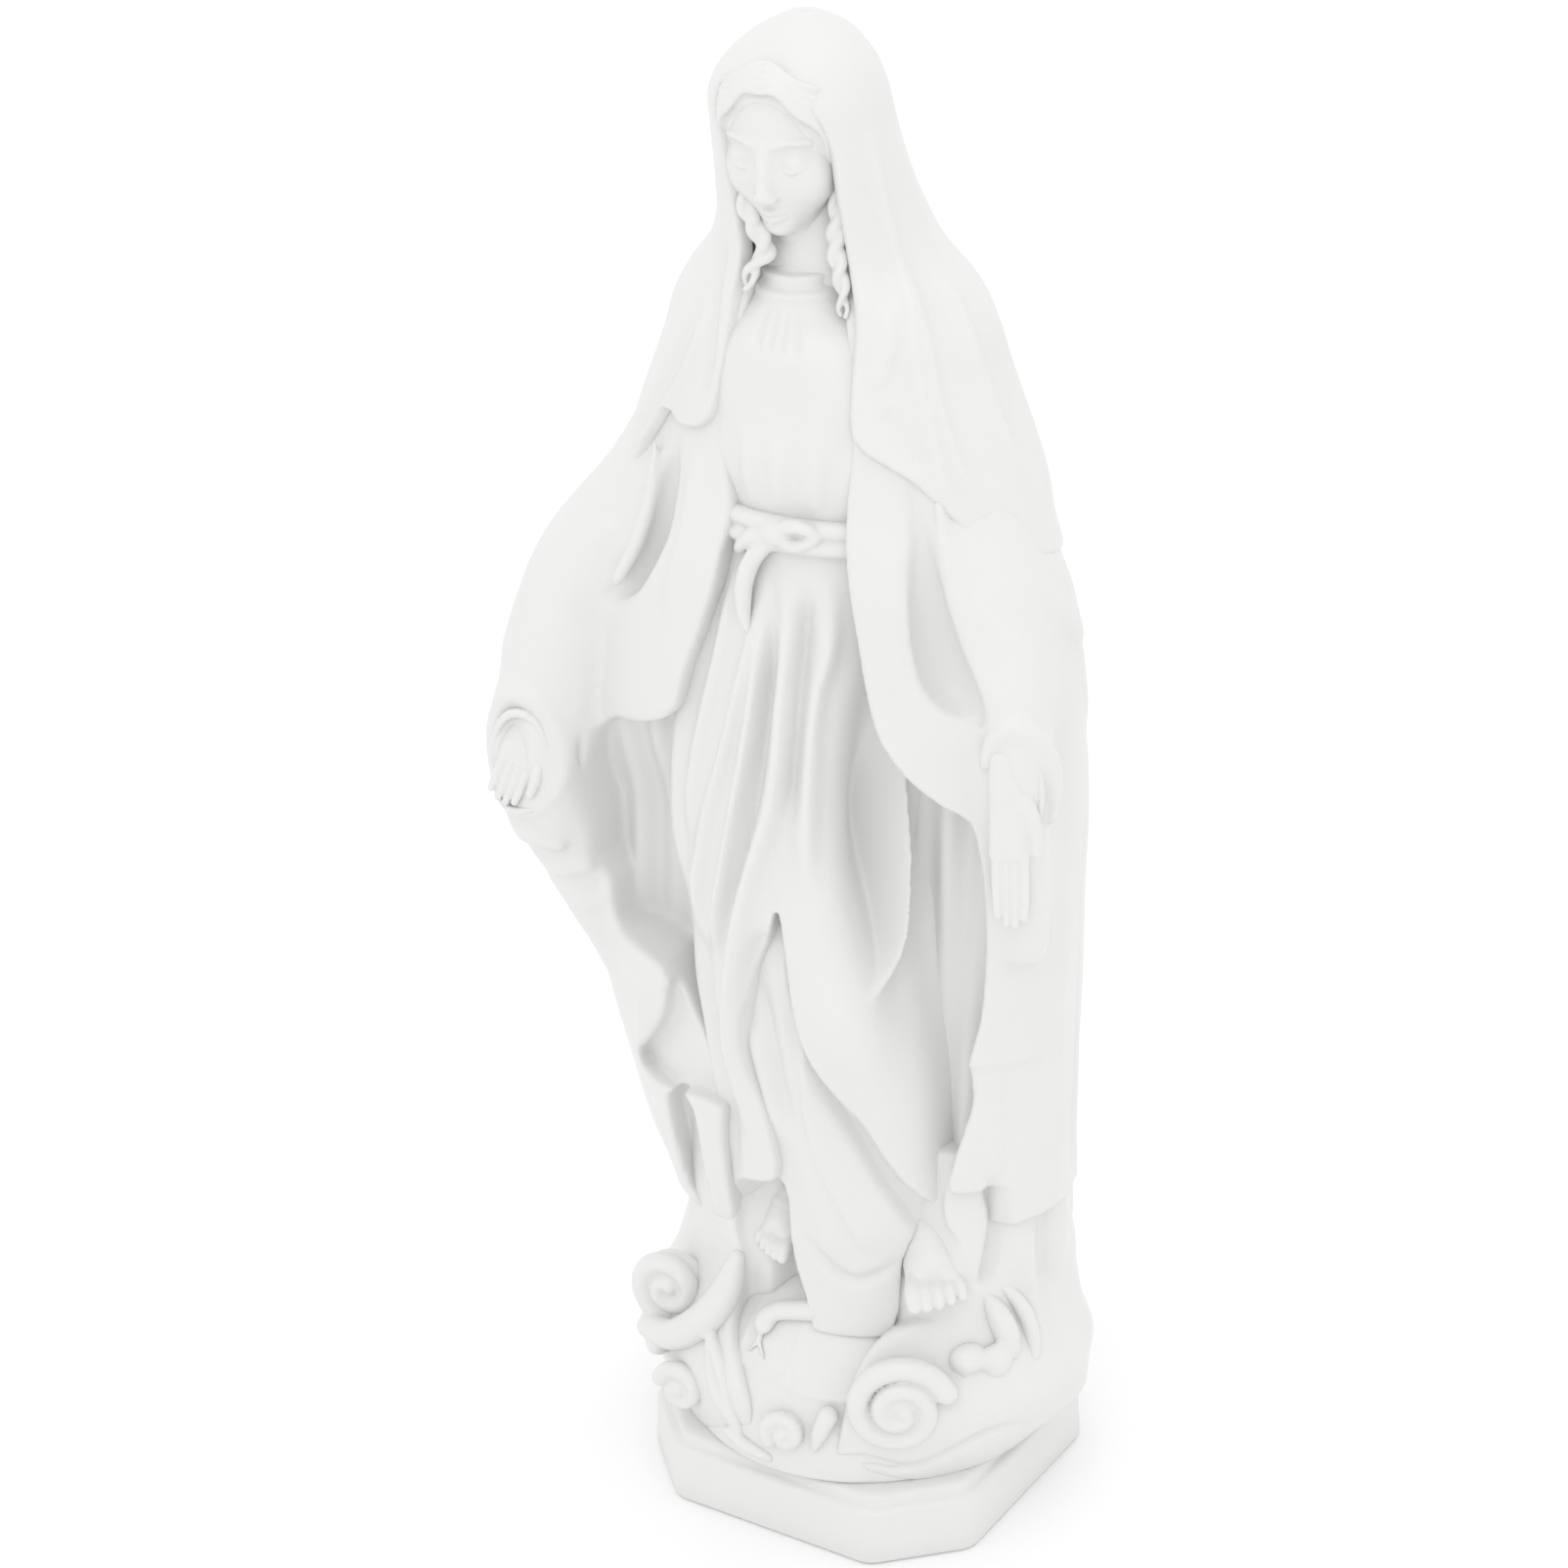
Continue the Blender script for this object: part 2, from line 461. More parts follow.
def make_mantle():
    cloth = Cloth(MANTLE)
    # left of the figure
    cloth.fold([(64, 217), (66, 207), (68, 199), (74, 192)], 1.4, 1.3)
    cloth.fold([(76, 214), (80, 206), (90, 196), (100, 186)], 1.4, 2.4)
    cloth.fold([(92, 210), (96, 198), (100, 185), (104, 165)], 1.2, 3.2)
    cloth.fold([(48, 214), (47, 197), (49, 182)], 0.7, 2.6)
    cloth.fold([(84, 150), (88, 130), (86, 110), (88, 70)], 1.0, 3.0)
    cloth.fold([(98, 160), (100, 120), (97, 64)], -1.6, 2.4)
    cloth.lap([(60, 105.5), (70, 105), (82, 105)], 0.9, 3, 0.15)
    cloth.lap([(72, 104), (71.5, 92), (71, 78)], -0.9, 3, 0.1)
    cloth.fold([(69, 82), (69, 74), (67, 62)], -2.0, 1.4)
    # right of the figure
    cloth.fold([(-55, 222), (-54, 213), (-56, 205), (-62, 195)], 1.4, 1.2)
    cloth.fold([(-61, 216), (-60, 208), (-66, 197), (-77, 187)], 1.6, 1.4)
    cloth.fold([(-69, 211), (-71, 202), (-79, 192)], 1.4, 1.4)
    cloth.fold([(-38, 224), (-36, 205), (-38, 188)], 1.0, 2.0)
    cloth.fold([(-57, 115), (-45, 110), (-44, 101), (-54, 90)], 1.6, 2.6, 0.2)
    cloth.fold([(-80, 110), (-78, 90), (-72, 60)], 1.2, 3.0)
    cloth.fold([(-64, 100), (-66, 84), (-60, 62)], -1.0, 2.0)
    # sprigs of low embroidery inside the hems
    for angle, height in ((-16, 182), (-22, 176), (-30, 172), (-38, 168), (58, 124), (64, 117), (60, 110),
                          (67, 100), (66, 92), (44, 176), (38, 184), (32, 192)):
        for turn in (0.4, 2.5, 4.6):
            petal = [(angle + 3.5 * r * cos(turn + 0.8 * r), height + 2.6 * r * sin(turn + 0.8 * r))
                     for r in (0.15, 0.5, 0.8, 1.0)]
            cloth.fold(petal, 0.45, 0.55, 0.2)
    # back
    cloth.pleats(112, 250, 9, 60, 200, 2.2, 3)
    clay = Clay((-76, -46, 48), (58, 38, 258), 0.6)
    clay.drape(cloth)
    clay.limb([(-24, -8, 228, 8), (-36, -10, 208, 10), (-49, -15, 190, 10.5), (-56, -21, 174, 8)], blend=6)
    clay.blob((-56, -25, 155), (9.5, 8, 20), blend=4)
    clay.limb([(-52, -19, 176, 9), (-53, -20, 162, 9.5), (-52, -20, 148, 9), (-50, -18, 136, 7)], blend=4)
    clay.limb([(-55, -25, 146, 7), (-54, -22, 137, 6.5), (-51, -19, 128, 7), (-48, -16, 119, 7),
               (-46, -13, 110, 6)], blend=3)
    clay.limb([(26, -8, 222, 8), (33, -10, 206, 9), (39, -13, 190, 8.5), (44, -16.5, 175, 6.5),
               (44, -16, 163, 5.5), (44, -14.5, 150, 4.5), (43, -12, 132, 4)], blend=5)
    clay.carve_front(MANTLE_OPENING, mantle_back, 1.6)
    clay.carve_front(DRAPE_FACET, shallow(4.0), 0.8)
    clay.carve_front(DRAPE_SLOT, shallow(6.0), 0.8)
    # deep grooves beside the arms
    clay.limb([(-23, -23.5, 223, 0.8), (-24, -23.5, 214, 2.0), (-26, -24, 205, 3.0), (-29, -24, 199, 3.2),
               (-33.5, -24, 193, 2.6), (-39, -23, 188.5, 1.0)], cut=True, blend=1.2)
    clay.limb([(-27, -23.5, 222, 0.6), (-28, -24, 212, 1.2), (-31, -24.5, 202, 1.5),
               (-36, -24.5, 193, 1.3)], blend=1.0)
    clay.limb([(25.5, -21, 221, 0.7), (27.5, -22, 211, 1.9), (29, -22.5, 202, 3.2), (31, -22.5, 193, 4.4),
               (34, -22.5, 186, 4.8), (38, -22.5, 181, 2.4)], cut=True, blend=1.2)
    clay.limb([(30, -20, 219, 0.8), (32.5, -20.5, 207, 1.4), (36, -20.5, 197, 1.7), (40, -20.5, 188, 1.7),
               (45, -19.5, 181, 1.5), (50, -17, 174, 1.0)], blend=1.5)
    # thin folds along the right arm
    clay.limb([(-33, -19.5, 213, 0.6), (-39, -19.5, 203, 1.3), (-47, -21.5, 193, 1.4),
               (-56, -24.5, 183, 1.0)], blend=1.5)
    clay.limb([(-38, -17, 211, 0.6), (-46, -18.5, 199, 1.3), (-55, -22.5, 188, 0.9)], blend=1.5)
    # creases and lumps of the cloth that hangs below the right hand
    clay.limb([(-46, -27, 167, 0.5), (-43, -27.5, 163.5, 1.0), (-40, -28, 162, 0.8)], cut=True, blend=0.6)
    clay.limb([(-43, -27, 163, 0.5), (-45, -26, 158, 0.9), (-47, -25, 152, 0.4)], cut=True, blend=0.6)
    for points in (
        [(-60, -29, 141, 1.2), (-56, -30, 138, 1.9), (-50, -28, 136, 1.2)],
        [(-58, -26, 134, 1.0), (-52, -26, 130, 1.9), (-47, -24, 131, 1.4)],
        [(-55, -23, 126, 1.0), (-49, -22.5, 122, 1.8), (-44, -22, 124, 1.0)],
    ):
        clay.limb(points, blend=1.2)
    # the recess that holds the hand
    clay.limb([(-61, -31, 145, 0.9), (-63.5, -29.4, 153, 1.0), (-62.5, -30, 160, 1.1),
               (-59.5, -31, 165, 1.2), (-55.5, -31.4, 167.5, 1.3), (-51.3, -30, 166.5, 1.2),
               (-48.8, -28.6, 162, 1.1), (-47.6, -28.4, 155, 1.1), (-48.5, -29.3, 149.5, 1.1),
               (-52.5, -31.3, 145, 1.0), (-57, -32.5, 143.5, 1.0), (-61, -31, 144.5, 0.8)], blend=1.6)
    clay.limb([(-57, -27, 168, 4), (-60, -27.3, 158, 4.2), (-59.5, -28, 148, 4)], blend=2)
    clay.blob((-55.8, -34.2, 157), (4.8, 3.0, 11), (0, 0, -25), cut=True, blend=1.2)
    # the soft crescents of the sleeve over the left hand
    clay.limb([(40.5, -23, 172, 0.8), (42.5, -23, 177.5, 1.3), (46.5, -21, 180, 1.5),
               (50.5, -17.8, 175.5, 1.5), (51.5, -15.6, 168, 1.2), (50.5, -15, 160, 0.8)], blend=1.6)
    clay.keep(lambda x, y, z: 62 + 0.16 * x - z)
    return clay.mesh("mantle")


# ---- veil ----
VEIL_CUT = [
    (-21, 291), (10, 291), (34, 288), (45, 284), (49, 279), (46.5, 272), (44, 263), (43, 255), (42, 248),
    (39, 238), (39, 229.5), (49, 225.5), (56, 223), (61, 220), (68, 214.5), (75, 210.5), (83, 207.5),
    (96, 205), (115, 203), (145, 200), (185, 198), (230, 180), (0, 160), (-230, 180), (-185, 198),
    (-145, 200), (-118, 203), (-95, 205), (-80, 207), (-68, 212), (-59, 221), (-53, 228), (-47, 226),
    (-40, 226), (-34, 227), (-29, 230), (-27, 238), (-25, 246), (-25, 256), (-27, 265), (-32, 274),
    (-38, 282), (-36, 289),
]


def make_veil():
    cloth = Cloth(VEIL)
    cloth.fold([(76, 283), (72, 271), (67, 261), (63, 252), (61, 245), (62, 236), (63, 228), (65, 221),
                (70, 215)], 1.6, 1.3, 0.15)
    cloth.fold([(72, 262), (67, 253), (66, 243), (67, 233), (70, 222), (76, 214)], 1.3, 1.2)
    cloth.fold([(57, 254), (53, 246), (48, 238)], 0.8, 1.2)
    cloth.fold([(84, 262), (81, 247), (82, 240), (84, 228), (87, 217)], 1.7, 2.0)
    cloth.fold([(98, 262), (100, 240), (102, 210)], 1.2, 2.6)
    cloth.fold([(50, 236), (56, 229), (62, 225)], -0.7, 1.6)
    cloth.fold([(-43, 261), (-35, 252), (-33, 241), (-34, 230)], -1.1, 0.8, 0.2)
    cloth.fold([(-36, 250), (-42, 241), (-48, 233), (-58, 223), (-66, 214)], 1.3, 1.1)
    cloth.fold([(-44, 258), (-50, 246), (-58, 234), (-70, 216)], 1.0, 1.6)
    cloth.pleats(120, 250, 8, 200, 262, 1.6)
    cloth.trim(VEIL_CUT)
    clay = Clay((-54, -36, 190), (52, 30, 302), 0.5)
    clay.drape(cloth, wall=3.0)
    clay.blob((-2.1, -9.6, 294), (6.5, 6.5, 4.8))
    clay.limb([(-1, -1, 234, 16), (-1, -2, 252, 16.5), (-1.5, -3, 268, 13.5)], blend=1.0)
    return clay.mesh("veil")


# ---- head and hair ----
HEAD_AT = np.array([-2.2, -12.8, 280.2])
HEAD_TURN = (17, 0, 5)
HEAD_SCALE = 1.14


def posed(points):
    """Head-frame points (x, y, z, radius) scaled and moved to the bowed and turned head."""
    m = turn_matrix(HEAD_TURN)
    return [(*(m @ np.array(p[:3]) * HEAD_SCALE + HEAD_AT), *(r * HEAD_SCALE for r in p[3:])) for p in points]


def make_head():
    clay = Clay((-18, -36, 244), (15, 8, 298), 0.25)

    def feature(centre, radii, blend=1.0, cut=False):
        clay.blob(posed([centre])[0], [r * HEAD_SCALE for r in radii], HEAD_TURN, blend, cut)

    feature((0, 1.5, 2.5), (10.2, 12.4, 12.6))
    feature((0, -3.8, -3.8), (8.5, 8.4, 8.4), 3)
    feature((0, -6.8, -8.8), (4.4, 4.2, 4.0), 3)
    for side in (-1, 1):
        feature((side * 4.8, -6.6, -3.2), (4, 4.0, 4.6), 2.5)
        feature((side * 4.3, -12.8, 0.8), (2.7, 1.8, 1.6), 1.8, cut=True)
        feature((side * 4.2, -8.9, 0.5), (2.3, 2.2, 1.9), 0.6)
        clay.limb(posed([(side * 2.1, -10.5, -0.1, 0.25), (side * 4.3, -11.2, -0.6, 0.36),
                         (side * 6.3, -9.7, -0.1, 0.25)]), blend=0.4, spacing=0.6)
        clay.limb(posed([(side * 2.0, -10.9, 3.5, 0.2), (side * 4.3, -10.4, 4.1, 0.3),
                         (side * 7, -8.3, 3.3, 0.2)]), blend=1.8, spacing=0.8)
        feature((side * 1.15, -12.4, -4.7), (0.95, 1.1, 0.75), 0.6)
        clay.limb(posed([(side * 0.2, -12.3, -7.5, 0.55), (side * 1.4, -11.7, -7.65, 0.45),
                         (side * 2.5, -10.7, -7.7, 0.22)]), blend=0.5, spacing=0.6)
    clay.limb(posed([(0, -10.7, 2.8, 0.75), (0, -12.0, -0.9, 0.9), (0, -13.2, -4.0, 1.1)]),
              blend=1.5, spacing=0.8)
    clay.limb(posed([(-1.9, -11.1, -8.7, 0.35), (0, -11.8, -8.9, 0.7), (1.9, -11.1, -8.7, 0.35)]),
              blend=0.6, spacing=0.6)
    feature((0, -9.6, -11.0), (2.6, 2.2, 1.9), 1.8)
    clay.limb([(-1, -10, 246, 7.2), (-1.2, -11.5, 256, 6.0), (-1.8, -12, 268, 6.4)], blend=2.0)
    return clay.mesh("head")


def add_curl(clay, points, sway, thick):
    """A lock of two strands that wind round each other along a path."""
    path = spline(points, 1.0)
    for phase in (0, pi):
        strand = []
        for i, p in enumerate(path):
            turn = 0.75 * i + phase
            taper = 0.45 + 0.55 * sin(pi * min(i / len(path) + 0.12, 1))
            x, y = p[0] + sway * cos(turn), p[1] - 0.5 * sway * sin(turn)
            strand.append((x, y, p[2], thick * taper))
        clay.limb(strand, blend=0.25, spacing=1.0)


def make_hair():
    clay = Clay((-22, -36, 246), (19, 10, 300), 0.3)
    clay.blob(posed([(0, 1.9, 1.9)])[0], np.array((11.4, 13.0, 12.9)) * HEAD_SCALE, HEAD_TURN)
    # hair that meets the veil's rim, then the opening for the face
    clay.blob((-2.2, -13.5, 287), (12.5, 12.4, 9.5), blend=0.6)
    clay.blob(posed([(0, -14, -2.0)])[0], np.array((9.2, 9.2, 13.9)) * HEAD_SCALE, HEAD_TURN, 0.6, cut=True)
    # waved strands from the parting round the face
    for side in (-1, 1):
        for i in range(5):
            strand = []
            for j in range(17):
                t = j / 16
                sweep = radians(2 + 100 * t)
                wave = 0.4 * sin(13 * t + 0.4 * i)
                x = side * (9.3 + 0.6 * i + wave) * sin(sweep)
                z = -1.4 + (13.1 + 0.65 * i + wave) * cos(sweep)
                cap = max(1 - (x / 11.5) ** 2 - ((z - 2.7) / 14.4) ** 2, 0.03)
                strand.append((x, 1.4 - 13.2 * sqrt(cap), z, 0.6 + 0.08 * sin(13 * t + i)))
            clay.limb(posed(strand), blend=0.2, spacing=1.0)
    # curled locks beside the neck
    add_curl(clay, [(-8.5, -21, 271), (-6.6, -22, 267), (-4.4, -21.6, 262.5), (-4.0, -20.8, 259.5),
                    (-6.2, -21.5, 257), (-7.0, -22.5, 253)], 1.0, 1.25)
    add_curl(clay, [(7.8, -16.2, 272), (8.6, -17, 267), (8.4, -17.5, 262), (9.4, -18.3, 258),
                    (10.4, -18.8, 254), (10.8, -19.5, 250)], 0.9, 1.2)
    return clay.mesh("hair")


# ---- sash ----
def make_sash():
    clay = Clay((-26, -36, 188), (26, 14, 218), 0.35)
    for drop in (1.6, -1.8):
        loop = []
        for t in np.linspace(-pi, pi, 41):
            sag = 1.2 * cos(t)
            loop.append((22.6 * sin(t), -8.5 - 18.4 * cos(t), 209 + drop + sag, 1.7))
        clay.limb(loop, blend=0.5)
    clay.blob((1, -27.6, 210.5), (3.2, 2.6, 2.6), blend=0.6)
    clay.limb([(1, -27.8, 211, 1.5), (6, -28.6, 213, 1.3), (9, -27, 211, 1.2), (5, -28, 208.6, 1.2),
               (1, -27.8, 210, 1.3)], blend=0.4)
    clay.limb([(1, -27.8, 210, 1.4), (-4, -28.2, 209, 1.5), (-7, -27, 206, 1.3)], blend=0.4)
    clay.limb([(0, -27.8, 209, 1.5), (-3.4, -28.6, 205, 1.7), (-5.2, -29, 200, 1.7),
               (-5.2, -29.4, 195, 1.4), (-4.4, -29.4, 191, 0.6)], blend=0.5)
    return clay.mesh("sash")


# ---- hands, cuffs and feet ----
def make_hand(name, wrist, tip, out, palm_faces, spread):
    """A relaxed hand: out points from little finger to thumb, spread is the gap between fingers."""
    wrist, tip = np.array(wrist, float), np.array(tip, float)
    along = (tip - wrist) / np.linalg.norm(tip - wrist)
    facing = np.array(palm_faces, float)
    facing -= along * (facing @ along)
    facing /= np.linalg.norm(facing)
    out = np.cross(along, facing) * np.sign(np.cross(along, facing) @ np.array(out, float))
    length = np.linalg.norm(tip - wrist)

    def at(forward, sideways, lift, radius):
        return tuple(wrist + along * forward + out * sideways + facing * lift) + (radius,)

    box = np.array([at(f, s, l, 0)[:3] for f in (-6, length + 2) for s in (-8, 10) for l in (-5, 6)])
    clay = Clay(box.min(0), box.max(0), 0.22)
    palm = length * 0.5
    for s in (-1.5, -0.5, 0.5, 1.5):
        clay.limb([at(-5, s * spread * 0.7, -0.5, 2.1), at(2, s * spread * 0.75, 0, 2.0),
                   at(palm, s * spread, 0.2, 1.5)], blend=1.4)
    for i, (reach, bend) in enumerate(((0.84, 0.9), (0.97, 0.5), (1.0, 0.4), (0.9, 0.7))):
        s = (i - 1.5) * spread
        clay.limb([at(palm - 1, s, 0.4, 1.1), at(palm + (length - palm) * 0.4 * reach, s * 1.03, 0.6, 1.0),
                   at(palm + (length - palm) * 0.75 * reach, s * 1.03, 0.5 + bend * 0.4, 0.92),
                   at(palm + (length - palm) * reach, s, 0.5 + bend, 0.72)], blend=0.25, spacing=0.8)
    clay.limb([at(3, spread * 1.7, 0.6, 1.6), at(7, spread * 2.5, 1.0, 1.45), at(11, spread * 2.9, 1.2, 1.2),
               at(14, spread * 2.9, 1.4, 0.9)], blend=0.8)
    return clay.mesh(name)


def make_cuff(name, rim, thick, folds):
    """The soft rolled rim of a sleeve, with lesser folds inside it."""
    points = np.array([p for line in [rim] + folds for p in line], float)
    clay = Clay(points.min(0) - 3, points.max(0) + 3, 0.3)
    for line, radius in [(rim, thick)] + [(line, thick * 0.8) for line in folds]:
        count = len(line) - 1
        swell = [0.55 + 0.45 * sin(pi * i / count) for i in range(count + 1)]
        clay.limb([(*p, radius * s) for p, s in zip(line, swell)], blend=0.6)
    return clay.mesh(name)


def make_foot(name, ankle, turn, big_toe_side, size):
    m = turn_matrix(turn)

    def at(x, y, z, r):
        return tuple(size * (m @ np.array([x, y, z])) + np.array(ankle, float)) + (size * r,)

    corners = np.array([at(x, y, z, 0)[:3] for x in (-9, 9) for y in (-21, 8) for z in (-7, 8)])
    clay = Clay(corners.min(0), corners.max(0), 0.25)
    clay.limb([at(0, 5, 3, 6.2), at(0, -2, 1.6, 6.0), at(0, -8, 0, 4.6)], blend=1)
    for s in (-2.6, 2.6):
        clay.limb([at(s * 0.7, -3, 0, 3.4), at(s, -11, -1.4, 2.6)], blend=1.5)
    for i, (reach, radius) in enumerate(((3.0, 1.6), (3.2, 1.3), (2.8, 1.25), (2.2, 1.15), (1.4, 1.05))):
        s = big_toe_side * (4.2 - 2.15 * i)
        clay.limb([at(s * 0.85, -11, -1.0, radius), at(s, -13 - reach * 0.6, -1.1, radius * 1.02),
                   at(s * 1.02, -14 - reach, -2.2, radius * 0.85)], blend=0.2, spacing=0.8)
    return clay.mesh(name)


# ---- globe, clouds and serpent ----
GLOBE_AT, GLOBE_RADIUS = np.array([0.5, -1.5, 18.0]), 36.0


def on_globe(azimuth, lift, out=0.0):
    """A point over the globe: azimuth from the front towards +X, lift up from its equator."""
    a, e = radians(azimuth), radians(lift)
    reach = GLOBE_RADIUS + out
    return GLOBE_AT + reach * np.array([sin(a) * cos(e), -cos(a) * cos(e), sin(e)])


def make_globe():
    clay = Clay((-38, -40, 13), (38, 38, 56), 0.5)
    clay.blob(GLOBE_AT, (GLOBE_RADIUS,) * 3)
    for line, radius in (
        ([(4, 46), (3.5, 36), (3, 24), (2.5, 8)], 0.5),
        ([(-22, 46), (-21, 36), (-20, 24), (-20, 8)], 0.5),
        ([(-50, 27), (-34, 27), (-18, 27), (-3, 27), (9, 24.5), (26, 24), (44, 26)], 0.6),
    ):
        clay.limb([(*on_globe(a, e), radius) for a, e in line], blend=0.4)
    clay.keep(lambda x, y, z: 15 - z)
    return clay.mesh("globe")


CLOUD = [
    (14.5, 0, 0, 38, 36.5), (22, -0.5, 0, 43.5, 37), (31, -0.5, 0, 45.5, 37), (40, 0, 2, 42, 34),
    (48, 0.3, 3.5, 40, 32), (60, 0.5, 4.5, 41, 31), (72, 0, 4, 41, 29), (84, -2, 3, 41, 27),
]
CLOUD_GAP = [
    (0, 98), (-16, 90), (-15.5, 62), (-12.5, 53), (-13, 45), (-12.5, 39), (-8.5, 34), (-4.5, 28),
    (-2.5, 22.5), (1, 19.5), (8, 19), (13, 23), (15, 31), (15.5, 39), (18.5, 45), (25, 48.5),
    (31.5, 49.5), (33, 54), (31.8, 60), (29.8, 66), (27.5, 72), (27, 96),
]


def make_clouds():
    cloth = Cloth(CLOUD)
    for i in range(13):
        angle = 96 + i * 14
        cloth.bulge(angle, 26 + 9 * sin(2.1 * i), 7, 7, 2.6)
        cloth.bulge(angle + 8, 44 + 5 * sin(1.3 * i), 6, 6, 2.0)
    # drapery that runs down from the mantle into the cloud
    cloth.fold([(68, 78), (69, 70), (66, 61), (64, 54)], -2.8, 1.5, 0.15)
    cloth.fold([(77, 72), (76, 58), (82, 46), (84, 34)], 1.5, 2.2)
    cloth.fold([(92, 74), (91, 60), (94, 48)], 1.4, 3.0)
    cloth.fold([(84, 72), (83, 60), (88, 48)], -1.2, 1.6)
    cloth.bulge(86, 31, 9, 9, 1.6)
    cloth.fold([(19, 19.5), (31, 21.5), (41, 19.5), (49, 20), (59, 24), (68, 26), (82, 24)], -1.2, 0.9)
    clay = Clay((-52, -46, 13), (50, 42, 86), 0.5)
    clay.drape(cloth)
    clay.carve_front(CLOUD_GAP, lambda x, z: -19 - 4.5 * ease((-3 - x) / 5) + 4 * ease((z - 50) / 18), 2.0)
    clay.blob(GLOBE_AT, (GLOBE_RADIUS - 0.5,) * 3, cut=True)
    return clay.mesh("cloud_bank")


def add_scroll(clay, centre, facing, radius, start, turns, hand, thick, lift=2.0):
    """A spiral cloud curl in the plane that faces an azimuth, its eye standing out by the lift."""
    a = radians(facing)
    right, outward = np.array([cos(a), sin(a), 0]), np.array([sin(a), -cos(a), 0])
    points = []
    for t in np.linspace(0, 1, int(16 * turns)):
        angle = radians(start) + hand * 2 * pi * turns * t
        r = radius * (1 - 0.86 * t)
        p = np.array(centre) + right * (r * cos(angle)) + outward * (lift * t)
        p[2] += r * sin(angle)
        points.append((*p, thick * (1 - 0.5 * t)))
    clay.limb(points, blend=0.5, spacing=1.0)
    clay.blob(np.array(centre) - outward * 0.3 * radius, (radius * 0.95, radius * 0.36, radius * 0.95),
              (0, 0, facing), 1.0)
    clay.blob(np.array(centre) + outward * 0.3 * lift, (radius * 0.5, 0.7 * lift, radius * 0.5),
              (0, 0, facing), 1.2)


def make_scrolls():
    clay = Clay((-54, -48, 14), (50, 6, 62), 0.4)
    # large curl at the upper left, fed by a band from beside the foot
    add_scroll(clay, (-30.5, -24.5, 40.5), 5, 7.6, 270, 1.6, -1, 2.5)
    clay.limb([(-14, -25, 53, 1.6), (-15, -27.5, 47, 3.0), (-18.5, -29.8, 40.5, 3.5),
               (-26, -30.6, 34, 3.2), (-34, -28, 32, 2.6)], blend=1.2)
    clay.blob((-31, -29.5, 29.5), (2.6, 2.4, 2.2), blend=0.6)
    # small curl below it and the two leaves beside it
    add_scroll(clay, (-23, -33.5, 24), 5, 4.8, 165, 1.3, -1, 1.9)
    clay.limb([(-17, -31.5, 38, 1.0), (-14, -33.4, 33, 2.6), (-11.5, -34.6, 27.5, 3.1),
               (-7.5, -36.2, 21, 1.2)], blend=0.8)
    clay.limb([(-16, -34, 36, 0.4), (-12.6, -36.9, 30.5, 0.7), (-9.5, -38, 25, 0.4)], cut=True, blend=0.6)
    clay.limb([(-10, -37, 20.5, 0.9), (-5, -37.5, 19, 1.3), (0, -37.5, 18, 1.0)], blend=0.4)
    # front curl with a pointed leaf
    add_scroll(clay, (4, -37, 25), 12, 4.3, 215, 1.25, -1, 1.7)
    clay.limb([(12.5, -35, 30.5, 2.0), (11, -36, 26.5, 1.7), (10, -36.5, 22.5, 0.6)], blend=0.3)
    # great curl at the right, with fine ripples behind it
    add_scroll(clay, (25, -29.3, 33.5), 31, 9.8, 20, 2.0, 1, 2.4, 2.6)
    for reach in (12.2, 13.8):
        ripple = []
        for t in np.linspace(-62, 20, 8):
            a, r = radians(t), radians(31 + reach * 1.1)
            x, y = 25 + reach * cos(a) * cos(r), -28.6 + reach * cos(a) * sin(r)
            thick = 0.3 + 0.9 * sin(radians((t + 64) * 2.1))
            ripple.append((x, y, 33.5 + reach * 0.95 * sin(a), thick))
        clay.limb(ripple, blend=0.6)
    clay.blob((34, -17.9, 41.2), (3.8, 2.6, 3.2), (0, 0, 50), blend=1.2)
    clay.blob((37.8, -13.6, 39.5), (3.2, 2.2, 3.8), (0, 0, 50), blend=1.2)
    # pointed petal under a soft arch
    clay.limb([(34, -11.5, 52.5, 1.0), (36.5, -10.8, 48.5, 2.3), (38.5, -10.2, 43.5, 2.5),
               (39.5, -9.8, 39.5, 1.2)], blend=0.8)
    clay.limb([(33, -11.5, 54.5, 0.9), (36.5, -8, 53, 1.3), (40, -5.5, 46, 1.7), (41.8, -5.5, 38, 1.4),
               (41, -8, 35, 0.9)], blend=0.8)
    clay.keep(lambda x, y, z: 15.2 - z)
    return clay.mesh("cloud_scrolls")


def make_serpent():
    clay = Clay((-30, -46, 30), (40, 10, 66), 0.35)
    path = [(-13, 41, 1.2, 1.4), (-11, 45, 1.5, 1.8), (-5, 47.5, 1.4, 2.0), (8, 50, 1.4, 2.2),
            (28, 52, 1.2, 2.4)]
    clay.limb([(*on_globe(a, e, out), r) for a, e, out, r in path], blend=0.8)
    clay.blob(on_globe(-13, 42, 1.4), (2.1, 1.6, 2.9), (-42, 0, 6), 0.8)
    for fork in (-16, -8):
        clay.limb([(*on_globe(-13.5, 38.5, 0.6), 0.6), (*on_globe(-13, 35.5, 0.4), 0.55),
                   (*on_globe(fork, 31, 0.3), 0.4)], blend=0.3)
    return clay.mesh("serpent")


